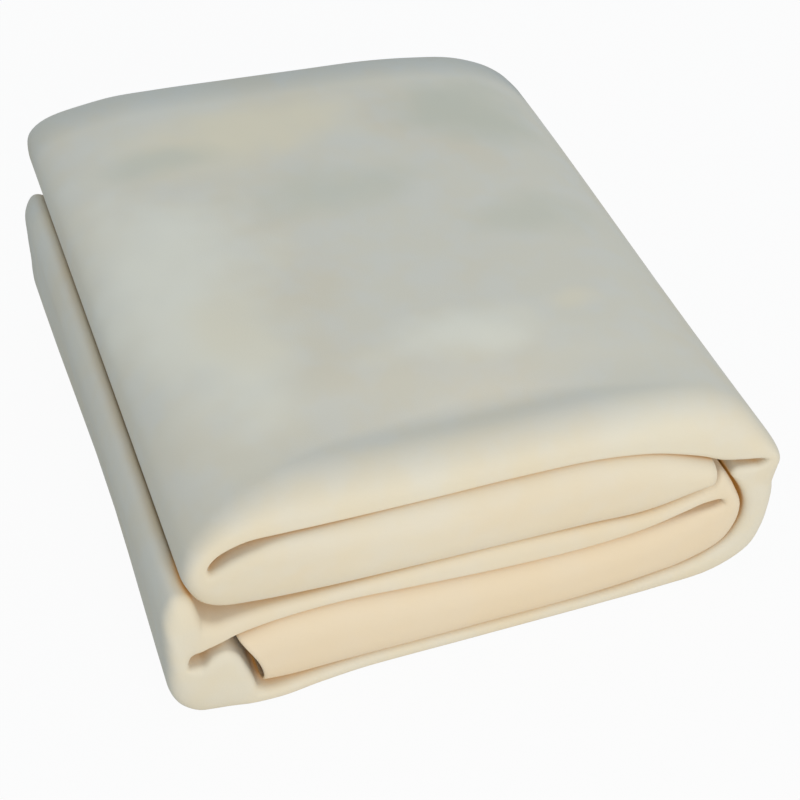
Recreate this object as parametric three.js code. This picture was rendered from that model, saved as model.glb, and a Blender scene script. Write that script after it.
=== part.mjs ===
import * as THREE from 'three';

// A chamois leather as it lies folded. It is one skin. Two folds along its length make it
// a strip of four layers, and the strip is then folded side to side into five panels:
// a free panel, back over it, round and under both, up and over the top, and back under
// the top panel. The long round folds are at the front.

// Sizes of the pile, in millimetres, +X to the right, +Y to the back, +Z up
const pileWidth = 150;
const pileDepth = 157;
const leatherThickness = 0.8;
const layerGap = 0.25;
const layerCount = 4;

// Heights of the five panels, from the surface up
const bottomPanelHeight = layerCount * leatherThickness + (layerCount - 1) * layerGap;
const lowerTuckHeight = 18.6;
const middlePanelHeight = 6.9;
const upperTuckHeight = 20.9;
const topPanelHeight = 10.6;
const panelHeights = [
  bottomPanelHeight,
  lowerTuckHeight,
  middlePanelHeight,
  upperTuckHeight,
  topPanelHeight,
];
const pileHeight = panelHeights.reduce((sum, height) => sum + height, 0);

// How the strip runs out at the front and at the back
const deepestSetBack = 4.5;
const longestOuterRoll = 20;
const longestInnerRoll = 10;
const deepestBackStep = 10.4;

// How the inner two layers lie between the outer two
const innerPairShare = 1 / 3;
const pairClearance = 1.3;
const pairSetBackShare = 0.15;
const deepestPairFold = 1.6;

// The sharpest fold, to the middle of the skin
const tightestFold = 1.25;

// How far the cut edge of the free panel bows out, and over how many rows that fades
const cutEdgeBulge = 1.8;
const cutEdgeFadeRows = 0.5;

// How far the skin swells or sinks where it isn't pressed flat
const backLeftSwell = 4.4;
const backLeftLift = 1.7;
const rightSideSwell = 3.3;
const lowerLeftHollow = 1.6;
const topValleyDepth = 2.2;
const backEdgeSag = 0.5;

// Fineness of the mesh
const panelSteps = 1;
const turnSteps = 1;
const frontQuarterSteps = 3;
const innerQuarterSteps = 1;
const backFoldSteps = 3;
const outerRunShares = [1, 0.4];
const innerRunShares = [1, 0.4];

// How full the round of the front fold is: 2 is an ellipse, more is squarer
const outerRoundness = 2.6;
const innerRoundness = 2;

// Stations along the strip. A row holds where the inner side of the strip lies, as a share
// of the width and a level, and then where its outer side lies. The level is 0 on the
// surface and 5 at the top, with a whole number at each boundary between two panels.
const freePanelShares = [
  [0.106, 2.05, 0.145, 1.07],
  [0.165, 2.28, 0.190, 1.02],
  [0.250, 2.34, 0.265, 1.02],
  [0.387, 2.11, 0.387, 1.02],
  [0.531, 1.97, 0.531, 1.02],
  [0.664, 1.97, 0.664, 1.02],
  [0.760, 2.05, 0.771, 1.06],
  [0.832, 2.30, 0.856, 1.14],
];
const innerRightTurnShares = [
  [0.862, 2.44, 0.919, 1.36],
  [0.880, 2.49, 0.937, 1.70],
  [0.893, 2.62, 0.935, 2.15],
  [0.890, 2.78, 0.919, 2.93],
  [0.882, 2.85, 0.900, 3.20],
  [0.874, 2.85, 0.882, 3.33],
  [0.867, 2.83, 0.867, 3.21],
  [0.854, 2.79, 0.850, 3.14],
  [0.830, 2.63, 0.832, 3.09],
];
const middlePanelShares = [
  [0.760, 2.20, 0.758, 2.89],
  [0.664, 1.99, 0.657, 2.92],
  [0.531, 1.99, 0.531, 2.98],
  [0.387, 2.18, 0.387, 3.00],
  [0.261, 2.40, 0.261, 3.00],
  [0.165, 2.36, 0.150, 2.98],
  [0.105, 2.21, 0.094, 2.92],
];
const lowerLeftTurnShares = [
  [0.080, 2.09, 0.074, 2.93],
  [0.060, 1.99, 0.060, 3.03],
  [0.050, 1.97, 0.052, 3.10],
  [0.041, 1.97, 0.048, 3.22],
  [0.035, 1.95, 0.035, 3.47],
  [0.031, 1.91, 0.018, 3.51],
  [0.029, 1.86, 0.002, 3.31],
  [0.029, 1.83, 0.000, 2.79],
  [0.032, 1.79, 0.000, 1.88],
  [0.041, 1.78, 0.000, 1.59],
  [0.054, 1.79, 0.004, 1.30],
  [0.069, 1.90, 0.019, 1.01],
  [0.086, 1.94, 0.044, 0.15],
  [0.102, 1.82, 0.066, 0.00],
  [0.115, 1.57, 0.084, 0.00],
  [0.126, 1.31, 0.100, 0.00],
  [0.134, 1.10, 0.117, 0.00],
  [0.148, 1.01, 0.138, 0.00],
];
const bottomPanelShares = [
  [0.179, 1.00, 0.179, 0.00],
  [0.229, 1.00, 0.229, 0.00],
  [0.311, 1.00, 0.311, 0.00],
  [0.469, 1.00, 0.469, 0.00],
  [0.613, 1.00, 0.613, 0.00],
  [0.714, 1.00, 0.714, 0.00],
];
const outerRightTurnShares = [
  [0.802, 1.06, 0.815, 0.00],
  [0.878, 1.16, 0.922, 0.30],
  [0.924, 1.37, 0.981, 1.15],
  [0.942, 1.69, 0.995, 1.54],
  [0.942, 2.04, 0.997, 1.81],
  [0.928, 2.88, 0.998, 2.00],
  [0.909, 3.18, 0.998, 2.30],
  [0.900, 3.28, 0.998, 2.41],
  [0.905, 3.33, 0.998, 2.50],
  [0.920, 3.33, 0.998, 2.67],
  [0.935, 3.32, 0.998, 2.96],
  [0.947, 3.31, 0.998, 3.12],
  [0.956, 3.34, 0.997, 3.26],
  [0.956, 3.38, 0.986, 3.42],
  [0.940, 3.42, 0.966, 3.62],
  [0.905, 3.47, 0.944, 3.82],
  [0.872, 3.53, 0.922, 4.00],
  [0.841, 3.64, 0.888, 4.36],
  [0.803, 3.75, 0.827, 4.71],
];
const topPanelShares = [
  [0.745, 3.89, 0.745, 4.89],
  [0.651, 4.00, 0.651, 4.99],
  [0.525, 4.04, 0.525, 5.00],
  [0.387, 4.03, 0.387, 5.00],
  [0.254, 4.04, 0.261, 4.99],
  [0.175, 4.10, 0.164, 4.92],
];
const upperLeftTurnShares = [
  [0.120, 4.15, 0.092, 4.63],
  [0.084, 4.00, 0.054, 4.23],
  [0.070, 3.92, 0.038, 3.96],
  [0.065, 3.85, 0.031, 3.72],
  [0.068, 3.79, 0.039, 3.50],
  [0.080, 3.83, 0.055, 3.28],
  [0.102, 3.91, 0.080, 3.14],
];
const tuckedPanelShares = [
  [0.150, 4.02, 0.134, 3.06],
  [0.254, 4.00, 0.248, 3.02],
  [0.387, 4.00, 0.387, 3.02],
  [0.525, 4.00, 0.525, 3.01],
  [0.651, 3.98, 0.651, 2.98],
  [0.755, 3.85, 0.758, 2.96],
  [0.858, 3.56, 0.858, 3.21],
];

// How the strip ends at the front and back, in rows spread evenly along each part: the share
// of the deepest set-back, where the front fold reaches furthest (from -1, the inner side,
// to 1), and the shares of the longest outer roll, longest inner roll and deepest back step
const freePanelEndShares = [
  [0.11, -0.2, 0.24, 0.4, 0.82],
  [0.18, 0, 0.26, 0.55, 0.5],
  [0.33, 0, 0.25, 0.5, 0.45],
];
const innerRightEndShares = [
  [0.55, -0.4, 0.22, 0.15, 0.45],
  [0.66, -0.5, 0.2, 0.15, 0.45],
  [0.7, -0.7, 0.15, 0.15, 0.45],
];
const middlePanelEndShares = [
  [0.73, -0.7, 0.1, 0.15, 0.45],
  [0.78, -0.75, 0.1, 0.15, 0.5],
  [0.67, -0.7, 0.1, 0.15, 0.7],
];
const lowerLeftEndShares = [
  [0.4, -0.5, 0.12, 0.15, 0.91],
  [0.1, -0.4, 0.22, 0.15, 1],
  [0, -0.4, 0.22, 0.15, 1],
];
const bottomPanelEndShares = [
  [0.15, 0, 0.11, 0.2, 0.82],
  [0.55, 0, 0.11, 0.2, 0.5],
  [0.62, 0, 0.11, 0.2, 0.3],
];
const outerRightEndShares = [
  [0.65, -0.1, 0.15, 0.2, 0.27],
  [0.85, -0.4, 0.22, 0.15, 0],
  [0.95, -0.6, 0.35, 0.15, 0],
];
const topPanelEndShares = [
  [1, -0.75, 0.65, 0.15, 0],
  [1, -0.75, 0.95, 0.15, 0],
  [0.9, -0.75, 0.75, 0.15, 0],
];
const upperLeftEndShares = [
  [0.7, -0.6, 0.35, 0.15, 0],
  [0.5, -0.5, 0.2, 0.15, 0],
  [0.4, -0.5, 0.28, 0.15, 0.09],
];
const tuckedPanelEndShares = [
  [0.27, -0.5, 0.35, 0.2, 0.18],
  [0.27, 0.0, 0.37, 0.6, 0.18],
  [0.45, 0, 0.3, 0.5, 0.18],
];
const stripParts = [
  { steps: panelSteps, shares: freePanelShares, endShares: freePanelEndShares },
  { steps: turnSteps, shares: innerRightTurnShares, endShares: innerRightEndShares },
  { steps: panelSteps, shares: middlePanelShares, endShares: middlePanelEndShares },
  { steps: turnSteps, shares: lowerLeftTurnShares, endShares: lowerLeftEndShares },
  { steps: panelSteps, shares: bottomPanelShares, endShares: bottomPanelEndShares },
  { steps: turnSteps, shares: outerRightTurnShares, endShares: outerRightEndShares },
  { steps: panelSteps, shares: topPanelShares, endShares: topPanelEndShares },
  { steps: turnSteps, shares: upperLeftTurnShares, endShares: upperLeftEndShares },
  { steps: panelSteps, shares: tuckedPanelShares, endShares: tuckedPanelEndShares },
];

// Swells and hollows: where each is centred and how far it reaches, as shares of the pile's
// width, depth and height, and how far it moves the skin at its centre
const swells = [
  {
    centreShares: [0.03, 1.0, 0.96],
    reachShares: [0.06, 0.6, 0.16],
    move: [-backLeftSwell, 0, backLeftLift],
  },
  {
    centreShares: [0.99, 1.0, 0.74],
    reachShares: [0.09, 0.55, 0.28],
    move: [rightSideSwell, 0, 0],
  },
  {
    centreShares: [0.0, 0.42, 0.22],
    reachShares: [0.08, 0.3, 0.19],
    move: [lowerLeftHollow, 0, 0],
  },
  {
    centreShares: [0.5, 0.13, 1.0],
    reachShares: [0.36, 0.04, 0.12],
    move: [0, 0, -topValleyDepth],
  },
  {
    centreShares: [0.5, 1.0, 1.0],
    reachShares: [0.6, 0.12, 0.12],
    move: [0, 0, -backEdgeSag],
  },
];

function heightAtLevel(level) {
  let height = 0;
  panelHeights.forEach((panelHeight, panel) => {
    height += panelHeight * THREE.MathUtils.clamp(level - panel, 0, 1);
  });
  return height;
}

function rowsBefore(partIndex) {
  return stripParts.slice(0, partIndex).flatMap((part) => part.shares).length;
}

// The ends of the strip at every row of the tables, on straight lines between the end rows
function endsAtRows() {
  const knots = stripParts.flatMap((part, index) => part.endShares.map((values, knot) => ({
    place: rowsBefore(index) + (knot * part.shares.length) / part.endShares.length,
    values,
  })));
  return Array.from({ length: rowsBefore(stripParts.length) }, (unused, row) => {
    const next = knots.findIndex((knot) => knot.place > row);
    if (next < 0) {
      return knots.at(-1).values;
    }
    const from = knots[next - 1];
    const to = knots[next];
    const share = (row - from.place) / (to.place - from.place);
    return from.values.map((value, end) => THREE.MathUtils.lerp(value, to.values[end], share));
  });
}

// Smooth curves through the rows give the inner side, the outer side and the ends of the
// strip at every station
function stationsAlongStrip() {
  const rows = stripParts.flatMap((part) => part.shares);
  const ends = endsAtRows();
  const sideCurve = (column) => new THREE.CatmullRomCurve3(
    rows.map((row) => new THREE.Vector3(
      row[column] * pileWidth,
      0,
      heightAtLevel(row[column + 1]),
    )),
    false,
    'centripetal',
  );
  const endCurve = (vectorOf) => new THREE.CatmullRomCurve3(ends.map(vectorOf), false, 'catmullrom');
  const innerSide = sideCurve(0);
  const outerSide = sideCurve(2);
  const setBackAndRolls = endCurve((end) => new THREE.Vector3(
    end[0] * deepestSetBack,
    end[2] * longestOuterRoll,
    end[3] * longestInnerRoll,
  ));
  const noseAndBackStep = endCurve((end) => new THREE.Vector3(end[1], end[4] * deepestBackStep, 0));

  const places = stripParts.flatMap((part, index) => {
    const count = part.shares.length * part.steps;
    return Array.from({ length: count }, (unused, step) => rowsBefore(index) + step / part.steps);
  });
  const lastRow = rows.length - 1;
  return places.filter((place) => place <= lastRow).map((place) => {
    const [setBack, outerRoll, innerRoll] = setBackAndRolls.getPoint(place / lastRow).toArray();
    const [nose, backStep] = noseAndBackStep.getPoint(place / lastRow).toArray();
    return {
      inner: innerSide.getPoint(place / lastRow),
      outer: outerSide.getPoint(place / lastRow),
      front: setBack + leatherThickness / 2,
      nose,
      outerRoll: Math.max(outerRoll, tightestFold),
      innerRoll: Math.max(innerRoll, tightestFold),
      back: pileDepth - backStep,
      bulge: cutEdgeBulge * Math.exp(-((place / cutEdgeFadeRows) ** 2)),
    };
  });
}

// How square the strip's run is to the line across it at each station: 1 is square
function withSquareness(stations) {
  const middles = stations.map((station) => station.inner.clone().add(station.outer));
  const last = stations.length - 1;
  return stations.map((station, index) => {
    const along = middles[Math.min(index + 1, last)].clone().sub(middles[Math.max(index - 1, 0)]);
    const across = station.outer.clone().sub(station.inner).normalize();
    return { ...station, squareness: across.cross(along.normalize()).length() };
  });
}

// The four layers in the strip's own section. The side is -1 towards the inner side and 1
// towards the outer side, rise the share of the way from the nose to that side, forward the
// share of the front fold's reach, run the share of the way to the back, and backward the
// share of the back fold's depth. The layers are the outer or the inner pair, or the fold
// between the pairs.
function layerRun(layers, side, runShares) {
  return runShares.map((run) => ({ layers, side, rise: 1, forward: 0, run, backward: 0 }));
}

// A quarter of a rounded oval from the side to the nose: rise ^ roundness + forward ^
// roundness = 1
function foldQuarter(layers, side, steps, roundness) {
  return Array.from({ length: steps + 1 }, (unused, step) => {
    const angle = (Math.PI / 2) * (1 - step / steps);
    return {
      layers,
      side,
      rise: Math.abs(Math.sin(angle)) ** (2 / roundness),
      forward: Math.abs(Math.cos(angle)) ** (2 / roundness),
      run: 0,
      backward: 0,
    };
  });
}

function frontFold(layers, firstSide, steps, roundness) {
  const toNose = foldQuarter(layers, firstSide, steps, roundness);
  const fromNose = foldQuarter(layers, -firstSide, steps, roundness).toReversed().slice(1);
  return [...toNose, ...fromNose];
}

function backFold() {
  return Array.from({ length: backFoldSteps - 1 }, (unused, step) => {
    const angle = (Math.PI * (step + 1)) / backFoldSteps;
    return {
      layers: 'between',
      side: -1,
      rise: (1 + innerPairShare) / 2 + (Math.cos(angle) * (1 - innerPairShare)) / 2,
      forward: 0,
      run: 1,
      backward: Math.sin(angle),
    };
  });
}

function stripSection() {
  return [
    ...layerRun('outer', 1, outerRunShares),
    ...frontFold('outer', 1, frontQuarterSteps, outerRoundness),
    ...layerRun('outer', -1, outerRunShares.toReversed()),
    ...backFold(),
    ...layerRun('inner', -1, innerRunShares),
    ...frontFold('inner', -1, innerQuarterSteps, innerRoundness),
    ...layerRun('inner', 1, innerRunShares.toReversed()),
  ];
}

// Each swell fades out from its centre like a bell curve
function withSwells(point) {
  const moved = point.clone();
  const shares = [point.x / pileWidth, point.y / pileDepth, point.z / pileHeight];
  swells.forEach((swell) => {
    const distances = shares.map(
      (share, axis) => (share - swell.centreShares[axis]) / swell.reachShares[axis],
    );
    const strength = Math.exp(-distances.reduce((sum, distance) => sum + distance ** 2, 0));
    moved.addScaledVector(new THREE.Vector3(...swell.move), strength);
  });
  return moved;
}

// How far a row lies from the middle of the strip towards its outer side, as a share of the
// way to the outermost layer. The nose keeps room for the sharpest fold on both sides.
function offsetOf(row, station, reach) {
  if (row.layers === 'outer') {
    const furthest = 1 - tightestFold / reach;
    const nose = THREE.MathUtils.clamp(station.nose, -furthest, furthest);
    return nose + (row.side - nose) * row.rise;
  }
  return row.side * row.rise * (row.layers === 'inner' ? innerPairShare : 1);
}

function middleOfSkin(station, row) {
  const across = station.outer.clone().sub(station.inner);
  const reach = (across.length() - leatherThickness) / 2;
  const offset = offsetOf(row, station, reach);
  const pairRoll = Math.min(reach * innerPairShare * station.squareness, deepestPairFold);
  const longerRoll = Math.max(station.outerRoll, station.innerRoll);
  const pairSetBack = pairClearance + pairSetBackShare * longerRoll;
  const sideRoll = row.side > 0 ? station.outerRoll : station.innerRoll;
  const inPair = row.layers === 'inner';
  const roll = inPair ? pairRoll : sideRoll;
  const start = station.front + roll + (inPair ? pairSetBack : 0);
  const end = station.back - (row.side < 0 ? pairRoll + leatherThickness / 2 : 0);
  const point = station.inner.clone().add(station.outer).multiplyScalar(1 / 2);
  point.addScaledVector(across.normalize(), reach * offset);
  point.x += station.bulge * (1 - offset ** 2);
  point.y = start - roll * row.forward + row.run * (end - start) + pairRoll * row.backward;
  return withSwells(point);
}

// The skin's middle surface is a grid of points, and each point gets a face half a thickness
// to either side along the surface's normal
function skinGeometry() {
  const stations = withSquareness(stationsAlongStrip());
  const section = stripSection();
  const middle = stations.map((station) => section.map((row) => middleOfSkin(station, row)));
  const lastStation = stations.length - 1;
  const lastRow = section.length - 1;
  const pointCount = stations.length * section.length;
  const vertexAt = (station, row) => station * section.length + row;

  const difference = (from, to) => to.clone().sub(from);
  const normals = middle.map((points, station) => points.map((unused, row) => {
    const along = difference(
      middle[Math.max(station - 1, 0)][row],
      middle[Math.min(station + 1, lastStation)][row],
    );
    const round = difference(points[Math.max(row - 1, 0)], points[Math.min(row + 1, lastRow)]);
    return along.cross(round).normalize();
  }));
  const offsetFace = (distance) => middle.flatMap((points, station) => (
    points.flatMap((point, row) => {
      const moved = point.clone().addScaledVector(normals[station][row], distance);
      return [moved.x, moved.y, Math.max(moved.z, 0)];
    })
  ));

  const triangles = [];
  for (let station = 0; station < lastStation; station += 1) {
    for (let row = 0; row < lastRow; row += 1) {
      const a = vertexAt(station, row);
      const b = vertexAt(station + 1, row);
      const c = vertexAt(station + 1, row + 1);
      const d = vertexAt(station, row + 1);
      triangles.push(a, b, c, a, c, d);
      triangles.push(a + pointCount, c + pointCount, b + pointCount);
      triangles.push(a + pointCount, d + pointCount, c + pointCount);
    }
  }

  // The cut rim closes the gap between the two faces all the way round
  const rim = [];
  for (let station = 0; station < lastStation; station += 1) {
    rim.push(vertexAt(station, 0));
  }
  for (let row = 0; row < lastRow; row += 1) {
    rim.push(vertexAt(lastStation, row));
  }
  for (let station = lastStation; station > 0; station -= 1) {
    rim.push(vertexAt(station, lastRow));
  }
  for (let row = lastRow; row > 0; row -= 1) {
    rim.push(vertexAt(0, row));
  }
  rim.forEach((from, index) => {
    const to = rim[(index + 1) % rim.length];
    triangles.push(to, from, from + pointCount);
    triangles.push(to, from + pointCount, to + pointCount);
  });

  const geometry = new THREE.BufferGeometry();
  const positions = [...offsetFace(leatherThickness / 2), ...offsetFace(-leatherThickness / 2)];
  geometry.setAttribute('position', new THREE.Float32BufferAttribute(positions, 3));
  geometry.setIndex(triangles);

  // The origin is the middle of the underside
  geometry.computeBoundingBox();
  const centre = geometry.boundingBox.getCenter(new THREE.Vector3());
  geometry.translate(-centre.x, -centre.y, -geometry.boundingBox.min.z);
  geometry.computeVertexNormals();
  return geometry;
}

const suede = new THREE.MeshStandardMaterial({ color: 0xe6d9bd, roughness: 0.95, metalness: 0 });
const chamoisLeather = new THREE.Mesh(skinGeometry(), suede);
chamoisLeather.name = 'chamois_leather';

const group = new THREE.Group();
group.add(chamoisLeather);

export default group;
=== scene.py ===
import bpy
import numpy as np
from mathutils import Matrix, Vector


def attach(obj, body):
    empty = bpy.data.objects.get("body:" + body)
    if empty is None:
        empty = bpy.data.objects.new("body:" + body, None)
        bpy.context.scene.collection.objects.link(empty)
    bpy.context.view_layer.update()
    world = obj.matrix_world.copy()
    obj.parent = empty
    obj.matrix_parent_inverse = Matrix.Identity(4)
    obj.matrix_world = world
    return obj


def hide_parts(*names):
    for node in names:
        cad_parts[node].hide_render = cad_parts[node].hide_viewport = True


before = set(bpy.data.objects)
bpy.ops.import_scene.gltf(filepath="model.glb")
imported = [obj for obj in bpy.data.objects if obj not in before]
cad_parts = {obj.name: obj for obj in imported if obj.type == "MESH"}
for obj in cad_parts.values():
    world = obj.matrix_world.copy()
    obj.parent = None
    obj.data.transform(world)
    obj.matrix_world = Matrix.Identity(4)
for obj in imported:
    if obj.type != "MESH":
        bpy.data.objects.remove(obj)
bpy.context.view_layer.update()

mm = 0.001

# The skin, in metres. It is folded front to back twice into a strip of four layers, and the
# strip is folded side to side into five panels.
leather = {
    "pileWidth": 150 * mm,
    "pileDepth": 157 * mm,
    "thickness": 0.8 * mm,
    # From the bottom up: the first is four layers and the 0.25 mm gaps between them
    "panelHeights": np.array([3.95, 18.6, 6.9, 20.9, 10.6]) * mm,
    "deepestSetBack": 4.5 * mm,
    "longestOuterRoll": 20 * mm,
    "longestInnerRoll": 10 * mm,
    "deepestBackStep": 10.4 * mm,
    "deepestPairFold": 1.6 * mm,
    "cutEdgeBulge": 1.8 * mm,
    "cutEdgeFadeRows": 0.5,
    "innerPairShare": 1 / 3,     # the inner two layers lie at this share of the outer two
    "outerRoundness": 2.6,       # 2 is an ellipse, more is squarer
    "innerRoundness": 2.0,
    "pairClearance": 1.3 * mm,
    "pairSetBackShare": 0.15,
    "tightestFold": 1.25 * mm,    # to the middle of the skin
    "panelSteps": 9,
    "turnSteps": 5,
    "frontFoldSteps": 30,
    "innerFoldSteps": 8,
    "backFoldSteps": 7,
    "rimBulge": 0.25 * mm,
}

# Stations along the strip: where its inner side lies, and where its outer side lies, each as a
# share of the width and a level. The level is 0 on the surface and 5 at the top, and a whole
# number at each panel boundary.
freePanelShares = [
    [0.106, 2.05, 0.145, 1.07],
    [0.165, 2.28, 0.190, 1.02],
    [0.250, 2.34, 0.265, 1.02],
    [0.387, 2.11, 0.387, 1.02],
    [0.531, 1.97, 0.531, 1.02],
    [0.664, 1.97, 0.664, 1.02],
    [0.760, 2.05, 0.771, 1.06],
    [0.832, 2.30, 0.856, 1.14],
]
innerRightTurnShares = [
    [0.862, 2.44, 0.919, 1.36],
    [0.880, 2.49, 0.937, 1.70],
    [0.893, 2.62, 0.935, 2.15],
    [0.890, 2.78, 0.919, 2.93],
    [0.882, 2.85, 0.900, 3.20],
    [0.874, 2.85, 0.882, 3.33],
    [0.867, 2.83, 0.867, 3.21],
    [0.854, 2.79, 0.850, 3.14],
    [0.830, 2.63, 0.832, 3.09],
]
middlePanelShares = [
    [0.760, 2.20, 0.758, 2.89],
    [0.664, 1.99, 0.657, 2.92],
    [0.531, 1.99, 0.531, 2.98],
    [0.387, 2.18, 0.387, 3.00],
    [0.261, 2.40, 0.261, 3.00],
    [0.165, 2.36, 0.150, 2.98],
    [0.105, 2.21, 0.094, 2.92],
]
lowerLeftTurnShares = [
    [0.080, 2.09, 0.074, 2.93],
    [0.060, 1.99, 0.060, 3.03],
    [0.050, 1.97, 0.052, 3.10],
    [0.041, 1.97, 0.048, 3.22],
    [0.035, 1.95, 0.035, 3.47],
    [0.031, 1.91, 0.018, 3.51],
    [0.029, 1.86, 0.002, 3.31],
    [0.029, 1.83, 0.000, 2.79],
    [0.032, 1.79, 0.000, 1.88],
    [0.041, 1.78, 0.000, 1.59],
    [0.054, 1.79, 0.004, 1.30],
    [0.069, 1.90, 0.019, 1.01],
    [0.086, 1.94, 0.044, 0.15],
    [0.102, 1.82, 0.066, 0.00],
    [0.115, 1.57, 0.084, 0.00],
    [0.126, 1.31, 0.100, 0.00],
    [0.134, 1.10, 0.117, 0.00],
    [0.148, 1.01, 0.138, 0.00],
]
bottomPanelShares = [
    [0.179, 1.00, 0.179, 0.00],
    [0.229, 1.00, 0.229, 0.00],
    [0.311, 1.00, 0.311, 0.00],
    [0.469, 1.00, 0.469, 0.00],
    [0.613, 1.00, 0.613, 0.00],
    [0.714, 1.00, 0.714, 0.00],
]
outerRightTurnShares = [
    [0.802, 1.06, 0.815, 0.00],
    [0.878, 1.16, 0.922, 0.30],
    [0.924, 1.37, 0.981, 1.15],
    [0.942, 1.69, 0.995, 1.54],
    [0.942, 2.04, 0.997, 1.81],
    [0.928, 2.88, 0.998, 2.00],
    [0.909, 3.18, 0.998, 2.30],
    [0.900, 3.28, 0.998, 2.41],
    [0.905, 3.33, 0.998, 2.50],
    [0.920, 3.33, 0.998, 2.67],
    [0.935, 3.32, 0.998, 2.96],
    [0.947, 3.31, 0.998, 3.12],
    [0.956, 3.34, 0.997, 3.26],
    [0.956, 3.38, 0.986, 3.42],
    [0.940, 3.42, 0.966, 3.62],
    [0.905, 3.47, 0.944, 3.82],
    [0.872, 3.53, 0.922, 4.00],
    [0.841, 3.64, 0.888, 4.36],
    [0.803, 3.75, 0.827, 4.71],
]
topPanelShares = [
    [0.745, 3.89, 0.745, 4.89],
    [0.651, 4.00, 0.651, 4.99],
    [0.525, 4.04, 0.525, 5.00],
    [0.387, 4.03, 0.387, 5.00],
    [0.254, 4.04, 0.261, 4.99],
    [0.175, 4.10, 0.164, 4.92],
]
upperLeftTurnShares = [
    [0.120, 4.15, 0.092, 4.63],
    [0.084, 4.00, 0.054, 4.23],
    [0.070, 3.92, 0.038, 3.96],
    [0.065, 3.85, 0.031, 3.72],
    [0.068, 3.79, 0.039, 3.50],
    [0.080, 3.83, 0.055, 3.28],
    [0.102, 3.91, 0.080, 3.14],
]
tuckedPanelShares = [
    [0.150, 4.02, 0.134, 3.06],
    [0.254, 4.00, 0.248, 3.02],
    [0.387, 4.00, 0.387, 3.02],
    [0.525, 4.00, 0.525, 3.01],
    [0.651, 3.98, 0.651, 2.98],
    [0.755, 3.85, 0.758, 2.96],
    [0.858, 3.56, 0.858, 3.21],
]

# How each part of the strip ends at the front and back, in rows spread evenly along the part:
# share of the deepest set-back, where the front fold reaches furthest (from -1, the inner
# side, to 1), and shares of the longest outer roll, longest inner roll and deepest back step
freePanelEndShares = [
    [0.11, -0.2, 0.24, 0.4, 0.82],
    [0.18, 0, 0.26, 0.55, 0.5],
    [0.33, 0, 0.25, 0.5, 0.45],
]
innerRightEndShares = [
    [0.55, -0.4, 0.22, 0.15, 0.45],
    [0.66, -0.5, 0.2, 0.15, 0.45],
    [0.7, -0.7, 0.15, 0.15, 0.45],
]
middlePanelEndShares = [
    [0.73, -0.7, 0.1, 0.15, 0.45],
    [0.78, -0.75, 0.1, 0.15, 0.5],
    [0.67, -0.7, 0.1, 0.15, 0.7],
]
lowerLeftEndShares = [
    [0.4, -0.5, 0.12, 0.15, 0.91],
    [0.1, -0.4, 0.22, 0.15, 1],
    [0, -0.4, 0.22, 0.15, 1],
]
bottomPanelEndShares = [
    [0.15, 0, 0.11, 0.2, 0.82],
    [0.55, 0, 0.11, 0.2, 0.5],
    [0.62, 0, 0.11, 0.2, 0.3],
]
outerRightEndShares = [
    [0.65, -0.1, 0.15, 0.2, 0.27],
    [0.85, -0.4, 0.22, 0.15, 0],
    [0.95, -0.6, 0.35, 0.15, 0],
]
topPanelEndShares = [
    [1, -0.75, 0.65, 0.15, 0],
    [1, -0.75, 0.95, 0.15, 0],
    [0.9, -0.75, 0.75, 0.15, 0],
]
upperLeftEndShares = [
    [0.7, -0.6, 0.35, 0.15, 0],
    [0.5, -0.5, 0.2, 0.15, 0],
    [0.4, -0.5, 0.28, 0.15, 0.09],
]
tuckedPanelEndShares = [
    [0.27, -0.5, 0.35, 0.2, 0.18],
    [0.27, 0.0, 0.37, 0.6, 0.18],
    [0.45, 0, 0.3, 0.5, 0.18],
]
stripParts = [
    ("panelSteps", freePanelShares, freePanelEndShares),
    ("turnSteps", innerRightTurnShares, innerRightEndShares),
    ("panelSteps", middlePanelShares, middlePanelEndShares),
    ("turnSteps", lowerLeftTurnShares, lowerLeftEndShares),
    ("panelSteps", bottomPanelShares, bottomPanelEndShares),
    ("turnSteps", outerRightTurnShares, outerRightEndShares),
    ("panelSteps", topPanelShares, topPanelEndShares),
    ("turnSteps", upperLeftTurnShares, upperLeftEndShares),
    ("panelSteps", tuckedPanelShares, tuckedPanelEndShares),
]

# Swells and hollows: centre and reach as shares of the width, depth and height, and the move
swells = [
    ((0.03, 1.0, 0.96), (0.06, 0.6, 0.16), np.array([-4.4, 0, 1.7]) * mm),
    ((0.99, 1.0, 0.74), (0.09, 0.55, 0.28), np.array([3.3, 0, 0]) * mm),
    ((0.0, 0.42, 0.22), (0.08, 0.3, 0.19), np.array([1.6, 0, 0]) * mm),
    ((0.5, 0.13, 1.0), (0.36, 0.04, 0.12), np.array([0, 0, -2.2]) * mm),
    ((0.5, 1.0, 1.0), (0.6, 0.12, 0.12), np.array([0, 0, -0.5]) * mm),
]


# A height is the sum of the whole panels below the level and the share of the one it is in
def heightAtLevel(level):
    panels = np.arange(len(leather["panelHeights"]))
    return np.clip(level[:, None] - panels, 0, 1) @ leather["panelHeights"]


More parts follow.
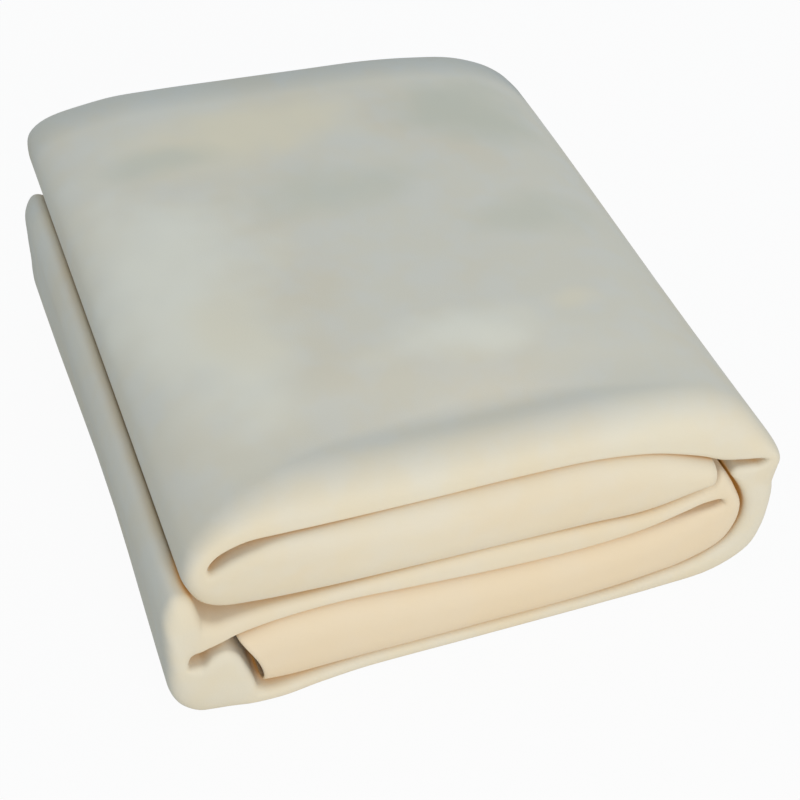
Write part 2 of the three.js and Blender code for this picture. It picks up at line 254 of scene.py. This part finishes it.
# Catmull-Rom curve: a cubic between each two points, whose slopes at its ends come from the
# four nearest points. Where the distances differ, each step grows as their square root.
def curveThrough(points, places, evenSteps=False):
    ends = [2 * points[:1] - points[1:2], points, 2 * points[-1:] - points[-2:-1]]
    points = np.vstack(ends)
    span = np.minimum(places.astype(int), len(points) - 4)
    share = (places - span)[:, None]
    p0, p1, p2, p3 = (points[span + i] for i in range(4))
    power = 0 if evenSteps else 0.5
    before, middle, after = (np.linalg.norm(b - a, axis=1, keepdims=True) ** power
                             for a, b in ((p0, p1), (p1, p2), (p2, p3)))
    slope1 = ((p1 - p0) / before - (p2 - p0) / (before + middle) + (p2 - p1) / middle) * middle
    slope2 = ((p2 - p1) / middle - (p3 - p1) / (middle + after) + (p3 - p2) / after) * middle
    square, cube = share ** 2, share ** 3
    return (p1 * (2 * cube - 3 * square + 1) + p2 * (3 * square - 2 * cube)
            + slope1 * (cube - 2 * square + share) + slope2 * (cube - square))


# Rows of the strip's section: the side it lies towards, -1 the inner and 1 the outer, the
# share of the way from the nose to that side, of the front fold's reach, of the way to the
# back and of the back fold, and 1 on the inner pair of layers
def layerRun(side, shares, pair=0):
    return [[side, 1, 0, share, 0, pair] for share in shares]


# A quarter of a rounded oval from the nose: rise ^ roundness + forward ^ roundness = 1
def foldQuarter(angle, side, roundness, pair=0):
    rise, forward = np.sin(angle) ** (2 / roundness), np.cos(angle) ** (2 / roundness)
    return [[side, float(up), float(ahead), 0, 0, pair] for up, ahead in zip(rise, forward)]


# Half a circle from the outer to the inner layer, less its two ends
def backFold():
    angle = np.linspace(0, np.pi, leather["backFoldSteps"] + 1)[1:-1]
    inner = leather["innerPairShare"]
    depth = (1 + inner) / 2 + np.cos(angle) * (1 - inner) / 2
    return [[-1, float(share), 0, 1, float(back), 2] for share, back in zip(depth, np.sin(angle))]


def stripSection():
    outerShares = [1, 0.92, 0.8, 0.66, 0.52, 0.38, 0.26, 0.16, 0.07]
    innerShares = [1, 0.7, 0.4, 0.15]
    quarter = np.linspace(np.pi / 2, 0, leather["frontFoldSteps"] // 2 + 1)
    small = np.linspace(np.pi / 2, 0, leather["innerFoldSteps"] // 2 + 1)
    rows = layerRun(1, outerShares)
    rows += foldQuarter(quarter, 1, leather["outerRoundness"])
    rows += foldQuarter(quarter[-2::-1], -1, leather["outerRoundness"])
    rows += layerRun(-1, outerShares[::-1])
    rows += backFold()
    rows += layerRun(-1, innerShares, 1)
    rows += foldQuarter(small, -1, leather["innerRoundness"], 1)
    rows += foldQuarter(small[-2::-1], 1, leather["innerRoundness"], 1)
    rows += layerRun(1, innerShares[::-1], 1)
    return np.array(rows)


# Each swell moves a point by its move times exp(-distance^2), the distance in its own reach
def withSwells(points):
    size = np.array([leather["pileWidth"], leather["pileDepth"], leather["panelHeights"].sum()])
    moved = points.copy()
    for centre, reach, move in swells:
        distance = (points / size - centre) / reach
        moved += np.exp(-(distance ** 2).sum(-1))[..., None] * move
    return moved


# The ends of the parts at each table row: straight lines between the rows of each part's own
def endsAtRows():
    sizeNames = ["longestOuterRoll", "longestInnerRoll", "deepestBackStep"]
    sizes = np.array([leather["deepestSetBack"], 1] + [leather[name] for name in sizeNames])
    starts = np.cumsum([0] + [len(shares) for stepsName, shares, ends in stripParts])
    knots = [start + np.arange(len(ends)) * len(shares) / len(ends)
             for start, (stepsName, shares, ends) in zip(starts, stripParts)]
    values = np.vstack([ends for stepsName, shares, ends in stripParts]) * sizes
    rows = np.arange(starts[-1])
    return np.stack([np.interp(rows, np.concatenate(knots), column) for column in values.T], 1)


# Where each station lies, in table rows: a part has its own number of stations to a row
def stationPlaces():
    steps = np.concatenate([[leather[stepsName]] * len(shares) for stepsName, shares, ends in stripParts])
    places = np.concatenate([row + np.arange(count) / count for row, count in enumerate(steps[:-1])])
    return np.append(places, len(steps) - 1)


# The middle of the skin on a grid of stations by section rows: across the strip it is the
# middle of its two sides plus offset times half its thickness, and front to back it runs from
# the round of the front fold to the back fold or the free edge
def middleOfSkin():
    table = np.vstack([shares for stepsName, shares, ends in stripParts])
    places = stationPlaces()
    width = leather["pileWidth"]
    inner = curveThrough(np.stack([table[:, 0] * width, heightAtLevel(table[:, 1])], 1), places)
    outer = curveThrough(np.stack([table[:, 2] * width, heightAtLevel(table[:, 3])], 1), places)
    ends = curveThrough(endsAtRows(), places, evenSteps=True)
    setBack, noseOffset, outerRoll, innerRoll, backStep = ends.T[..., None]

    side, rise, forward, run, backward, pair = stripSection().T
    thickness = leather["thickness"]
    across = outer - inner
    wide = np.linalg.norm(across, axis=1, keepdims=True)
    reach = (wide - thickness) / 2
    tightest = leather["tightestFold"]
    outerRoll, innerRoll = np.maximum(outerRoll, tightest), np.maximum(innerRoll, tightest)
    noseOffset = np.clip(noseOffset, tightest / reach - 1, 1 - tightest / reach)
    outerOffset = noseOffset + (side - noseOffset) * rise
    innerOffset = side * rise * leather["innerPairShare"]
    offset = np.select([pair == 1, pair == 2], [innerOffset, side * rise], outerOffset)
    centre = ((inner + outer) / 2)[:, None] + (across / wide * reach)[:, None] * offset[..., None]
    along = np.gradient(inner + outer, axis=0)
    squareness = np.abs(along[:, :1] * across[:, 1:] - along[:, 1:] * across[:, :1])
    squareness /= np.linalg.norm(along, axis=1, keepdims=True) * wide
    pairRoll = np.minimum(reach * leather["innerPairShare"] * squareness, leather["deepestPairFold"])
    roll = np.select([pair == 1, side > 0], [pairRoll, outerRoll], innerRoll)
    pairSetBack = leather["pairClearance"] + leather["pairSetBackShare"] * np.maximum(outerRoll, innerRoll)
    start = setBack + thickness / 2 + np.where(pair == 1, pairSetBack, 0) + roll
    end = leather["pileDepth"] - backStep - np.where(side < 0, pairRoll + thickness / 2, 0)
    y = start - roll * forward + run * (end - start) + pairRoll * backward
    fade = np.exp(-(places / leather["cutEdgeFadeRows"]) ** 2)[:, None]
    bulge = leather["cutEdgeBulge"] * fade * (1 - offset ** 2)
    return withSwells(np.stack([centre[..., 0] + bulge, y, centre[..., 1]], -1))


# Two faces half a thickness to either side of the middle along its normal, and a rim of two
# rows of faces round all four sides, with its ridge pushed out a little. The third result is
# the station that each point belongs to.
def closedSkin(middle):
    along, round_ = np.gradient(middle, axis=0), np.gradient(middle, axis=1)
    normal = np.cross(along, round_)
    normal *= leather["thickness"] / 2 / np.linalg.norm(normal, axis=-1, keepdims=True)
    stations, rows = middle.shape[:2]
    grid = np.arange(stations * rows).reshape(stations, rows)
    a, b, c, d = grid[:-1, :-1], grid[1:, :-1], grid[1:, 1:], grid[:-1, 1:]
    count = grid.size
    front = np.stack([a, b, c, d], -1).reshape(-1, 4)
    back = front[:, ::-1] + count

    rim = np.concatenate([grid[:-1, 0], grid[-1, :-1], grid[:0:-1, -1], grid[0, :0:-1]])
    outward = np.zeros_like(middle)
    outward[0] -= along[0] / np.linalg.norm(along[0], axis=-1, keepdims=True)
    outward[-1] += along[-1] / np.linalg.norm(along[-1], axis=-1, keepdims=True)
    outward[:, 0] -= round_[:, 0] / np.linalg.norm(round_[:, 0], axis=-1, keepdims=True)
    outward[:, -1] += round_[:, -1] / np.linalg.norm(round_[:, -1], axis=-1, keepdims=True)
    ridge = (middle + outward * leather["rimBulge"]).reshape(-1, 3)[rim]
    ridgeAt = 2 * count + np.arange(len(rim))
    rimNext, ridgeNext = np.roll(rim, -1), np.roll(ridgeAt, -1)
    frontRim = np.stack([rimNext, rim, ridgeAt, ridgeNext], -1)
    backRim = np.stack([ridgeNext, ridgeAt, rim + count, rimNext + count], -1)

    points = np.vstack([(middle + normal).reshape(-1, 3), (middle - normal).reshape(-1, 3), ridge])
    points[:, 2] = np.maximum(points[:, 2], 0)
    station = np.repeat(np.arange(stations), rows)
    stationOfPoint = np.concatenate([station, station, station[rim]])
    return points, np.vstack([front, back, frontRim, backRim]), stationOfPoint


# A smooth-shaded mesh from its points and faces
def makeMesh(name, points, faces):
    mesh = bpy.data.meshes.new(name)
    mesh.from_pydata(points.tolist(), [], faces.tolist())
    mesh.polygons.foreach_set("use_smooth", np.ones(len(faces), bool))
    mesh.update()
    piece = bpy.data.objects.new(name, mesh)
    bpy.context.collection.objects.link(piece)
    return piece


middle = middleOfSkin()
points, faces, stationOfPoint = closedSkin(middle)

# The middle of the underside of the pile is the origin, as in the frame
pileOrigin = np.append((points.min(0) + points.max(0))[:2] / 2, 0)
skin = makeMesh("folded_skin", points - pileOrigin, faces)


# A socket that takes part in arithmetic: each operator adds a Math node
class Field:
    def __init__(self, finish, socket):
        self.finish = finish
        self.socket = socket

    def maths(self, operation, first, second=0.0):
        return self.finish.node("ShaderNodeMath", {"operation": operation}, {0: first, 1: second})

    def __rsub__(self, other):
        return self.maths("SUBTRACT", other, self)

    def __mul__(self, other):
        return self.maths("MULTIPLY", self, other)


# A material whose nodes are written as expressions
class Finish:
    def __init__(self, name):
        self.material = bpy.data.materials.new(name)
        self.material.use_nodes = True
        self.tree = self.material.node_tree
        self.tree.nodes.clear()

    # Settings are set first, then each socket takes a value or a link
    def node(self, kind, settings=None, inputs=None, output=0):
        node = self.tree.nodes.new(kind)
        for name, value in (settings or {}).items():
            setattr(node, name, value)
        for key, value in (inputs or {}).items():
            if isinstance(value, Field):
                self.tree.links.new(value.socket, node.inputs[key])
            else:
                node.inputs[key].default_value = value
        return Field(self, node.outputs[output]) if node.outputs else node

    def mixColour(self, factor, first, second):
        settings = {"data_type": "RGBA", "clamp_factor": True}
        return self.node("ShaderNodeMix", settings, {0: factor, 6: first, 7: second}, output=2)

    def position(self):
        return self.node("ShaderNodeTexCoord", output=3)

    # One coordinate of the position
    def along(self, axis):
        return self.node("ShaderNodeSeparateXYZ", None, {0: self.position()}, output="XYZ".index(axis))

    # Smooth noise from 0 to 1 whose bumps are about one size across
    def noise(self, size, detail=2.0, roughness=0.5, output=0):
        inputs = {"Vector": self.position(), "Scale": 1 / size, "Detail": detail, "Roughness": roughness}
        return self.node("ShaderNodeTexNoise", None, inputs, output)

    def attribute(self, name):
        return self.node("ShaderNodeAttribute", {"attribute_name": name}, output=2)

    # 1 in the middle of a stain and 0 past its reach, with an uneven edge
    def stain(self, centre, reach):
        wobble = self.vector("SUBTRACT", self.noise(suede["stainEdge"], output=1), (0.5, 0.5, 0.5))
        away = self.vector("DIVIDE", self.vector("SUBTRACT", self.position(), centre), reach)
        settings = {"gradient_type": "SPHERICAL"}
        near = self.node("ShaderNodeTexGradient", settings, {0: self.vector("ADD", away, wobble)}, output=1)
        return self.step(near, suede["stainSteps"])

    def vector(self, operation, first, second):
        return self.node("ShaderNodeVectorMath", {"operation": operation}, {0: first, 1: second})

    # The share of the space near a point that the piece itself leaves open
    def openness(self, reach):
        settings = {"samples": 8, "only_local": True}
        return self.node("ShaderNodeAmbientOcclusion", settings, {"Distance": reach}, output=1)

    # 0 below the first limit, 1 above the second, and a smooth step between
    def step(self, value, limits):
        low, high = limits
        settings = {"interpolation_type": "SMOOTHSTEP"}
        return self.node("ShaderNodeMapRange", settings, {0: value, 1: low, 2: high, 3: 0.0, 4: 1.0})


suede = {
    "cream": (0.80, 0.70, 0.52, 1),
    "warm": (0.80, 0.66, 0.45, 1),
    "peach": (0.88, 0.67, 0.43, 1),
    "pale": (0.78, 0.72, 0.60, 1),
    # Painted shade and painted bounced light for the folds: a warm brown near them and a dark brown deep in
    # them
    "paintedNearFoldShade": (0.70, 0.48, 0.23, 1),
    "paintedInFoldShade": (0.28, 0.17, 0.06, 1),
    "straw": (0.90, 0.75, 0.50, 1),
    "moss": (0.68, 0.62, 0.45, 1),
    "bright": (0.92, 0.82, 0.62, 1),
    "stainEdge": 22 * mm,
    "stainSteps": (0.0, 0.9),
    "stains": [
        ("bright", 0.9, np.array([-54, -8, 60]) * mm, np.array([34, 70, 14]) * mm),
        ("straw", 0.9, np.array([-20, 52, 60]) * mm, np.array([42, 18, 14]) * mm),
        ("straw", 0.55, np.array([-45, -21, 60]) * mm, np.array([20, 22, 14]) * mm),
        ("moss", 0.6, np.array([-44, 46, 60]) * mm, np.array([22, 8, 14]) * mm),
        ("moss", 0.6, np.array([-7, 22, 60]) * mm, np.array([32, 16, 14]) * mm),
        ("moss", 0.9, np.array([43, 50, 60]) * mm, np.array([30, 24, 14]) * mm),
        ("moss", 0.6, np.array([42, 2, 60]) * mm, np.array([26, 12, 14]) * mm),
        ("straw", 0.6, np.array([35, -31, 60]) * mm, np.array([12, 6, 14]) * mm),
        ("bright", 0.9, np.array([4, -37, 60]) * mm, np.array([30, 12, 14]) * mm),
    ],
    # Painted shade in the folds, creases and slots, where the piece closes off the space round a point, and
    # a painted glow there near the front
    "foldReach": 5 * mm,
    "paintedNearFoldShadeSteps": (0.55, 0.9),     # shares of the space round a point that are closed off
    "paintedNearFoldShadeAmount": 0.55,
    "paintedInFoldShadeSteps": (0.72, 0.95),
    # A painted glow in the deep creases near the front, standing in for light through the leather
    "paintedGlowColour": (0.22, 0.10, 0.015, 1),
    "glowSteps": (0.62, 0.95),
    "foldGlow": 0.7,
    "frontFade": (-70 * mm, -60 * mm),
    "warmerPanels": ([0, 8, 16, 24, 30, 79, 83], [1, 1, 0.4, 0.3, 0, 0, 0.4]),
    "panelWarmth": 0.6,
    "patchSize": 38 * mm,
    "patchSteps": (0.38, 0.62),
    "patchAmount": 0.5,
    "blotchSize": 9 * mm,
    "blotchSteps": (0.35, 0.7),
    "blotchAmount": 0.35,
    "napSize": 0.35 * mm,
    "napHeight": 0.05 * mm,
    "napStrength": 0.6,
    "roughness": 0.95,
    "specular": 0.15,
    "sheen": 0.12,
    "sheenRoughness": 0.6,
    "sheenTint": (1, 0.96, 0.88, 1),
}


def suedeFinish():
    finish = Finish("chamois_suede")
    patches = finish.step(finish.noise(suede["patchSize"], 1.0), suede["patchSteps"])
    blotches = finish.step(finish.noise(suede["blotchSize"], 2.0), suede["blotchSteps"])
    nap = finish.noise(suede["napSize"], 3.0, 0.6)
    colour = finish.mixColour(patches * suede["patchAmount"], suede["cream"], suede["warm"])
    colour = finish.mixColour(blotches * suede["blotchAmount"], colour, suede["pale"])
    colour = finish.mixColour(finish.attribute("warmth") * suede["panelWarmth"], colour, suede["peach"])
    for tint, amount, centre, reach in suede["stains"]:
        colour = finish.mixColour(finish.stain(centre, reach) * amount, colour, suede[tint])

    # Painted shade: where the piece closes off the space round a point, in folds, creases and slots, the
    # colour goes to a warm brown near the front, standing in for shade and bounced light, and to a dark
    # brown deeper in, standing in for shade
    hidden = 1 - finish.openness(suede["foldReach"])
    nearFront = 1 - finish.step(finish.along("Y"), suede["frontFade"])
    paintedNearFoldShade = finish.step(hidden, suede["paintedNearFoldShadeSteps"]) * nearFront * suede["paintedNearFoldShadeAmount"]
    colour = finish.mixColour(paintedNearFoldShade, colour, suede["paintedNearFoldShade"])
    colour = finish.mixColour(finish.step(hidden, suede["paintedInFoldShadeSteps"]), colour, suede["paintedInFoldShade"])
    # Painted light: near the front, the deepest creases glow a warm dark brown, standing in for light
    # through the leather
    glowing = finish.step(hidden, suede["glowSteps"]) * nearFront
    glow = finish.mixColour(glowing, (0, 0, 0, 1), suede["paintedGlowColour"])
    bumps = {"Strength": suede["napStrength"], "Distance": suede["napHeight"], "Height": nap}
    inputs = {"Base Color": colour, "Emission Color": glow, "Emission Strength": suede["foldGlow"],
              "Roughness": suede["roughness"], "Normal": finish.node("ShaderNodeBump", None, bumps),
              "Specular IOR Level": suede["specular"], "Sheen Weight": suede["sheen"],
              "Sheen Roughness": suede["sheenRoughness"], "Sheen Tint": suede["sheenTint"]}
    shader = finish.node("ShaderNodeBsdfPrincipled", None, inputs)
    finish.node("ShaderNodeOutputMaterial", None, {"Surface": shader})
    return finish.material


# The panels at the start of the strip are a warmer colour than the rest, and so is its end
warmth = skin.data.attributes.new("warmth", "FLOAT", "POINT")
warmth.data.foreach_set("value", np.interp(stationPlaces(), *suede["warmerPanels"])[stationOfPoint])
skin.data.materials.append(suedeFinish())
print("suede: done")

stageLook = {
    "floorSize": 3.0,
    "floorColour": (0.60, 0.58, 0.53, 1),
    "floorWhitening": 0.95,
    "worldColour": (0.60, 0.73, 0.92, 1),
    "worldStrength": 0.82,
    "lampEnergy": 5.7,
    "lampSize": 0.5,
    "lampColour": (1, 0.93, 0.80),
    "lampPlace": (0.08, -1.05, 0.40),
}


# The camera sees the floor whiter than it is lit, and the rest of the light sees it plain
def floorFinish():
    finish = Finish("pale_floor")
    diffuse = finish.node("ShaderNodeBsdfDiffuse", None, {"Color": stageLook["floorColour"]})
    white = finish.node("ShaderNodeEmission", None, {"Color": (1, 1, 1, 1), "Strength": 1.0})
    seen = finish.node("ShaderNodeLightPath", output=0)
    shader = finish.node("ShaderNodeMixShader", None,
                         {0: seen * stageLook["floorWhitening"], 1: diffuse, 2: white})
    finish.node("ShaderNodeOutputMaterial", None, {"Surface": shader})
    return finish.material


def makeStage():
    half = stageLook["floorSize"] / 2
    corners = np.array([[-half, -half, 0], [half, -half, 0], [half, half, 0], [-half, half, 0]])
    floor = makeMesh("floor", corners, np.array([[0, 1, 2, 3]]))
    floor.data.materials.append(floorFinish())

    world = bpy.data.worlds.new("studio")
    world.use_nodes = True
    background = world.node_tree.nodes["Background"]
    background.inputs["Color"].default_value = stageLook["worldColour"]
    background.inputs["Strength"].default_value = stageLook["worldStrength"]
    bpy.context.scene.world = world

    lamp = bpy.data.lights.new("front_softbox", "AREA")
    lamp.energy = stageLook["lampEnergy"]
    lamp.size = stageLook["lampSize"]
    lamp.color = stageLook["lampColour"]
    lampObject = bpy.data.objects.new("front_softbox", lamp)
    bpy.context.collection.objects.link(lampObject)
    lampObject.location = stageLook["lampPlace"]
    aim = Vector((0, 0, 0.03)) - lampObject.location
    lampObject.rotation_euler = aim.to_track_quat("-Z", "Y").to_euler()
    bpy.context.scene.view_settings.view_transform = "Standard"


# The camera in the pile's own axes, x from its left side and y from its front
cameraLook = {
    "place": np.array([-42.0, -194.3, 287.5]) * mm,
    "forward": (0.3035, 0.6629, -0.6844),
    "up": (0.1963, 0.6594, 0.7257),
    "focalPixels": 1549.7,
    "framePixels": 800,
}


def makeCamera():
    camera = bpy.data.cameras.new("camera")
    camera.sensor_width = 36
    camera.lens = camera.sensor_width * cameraLook["focalPixels"] / cameraLook["framePixels"]
    camera.clip_start = 0.01
    cameraObject = bpy.data.objects.new("camera", camera)
    bpy.context.collection.objects.link(cameraObject)
    back = -Vector(cameraLook["forward"]).normalized()
    right = Vector(cameraLook["up"]).cross(back).normalized()
    up = back.cross(right)
    turn = Matrix((right, up, back)).transposed().to_4x4()
    cameraObject.matrix_world = Matrix.Translation(cameraLook["place"] - pileOrigin) @ turn
    bpy.context.scene.camera = cameraObject


makeStage()
makeCamera()
print("stage and camera: done")

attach(skin, "root")
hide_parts("chamois_leather")
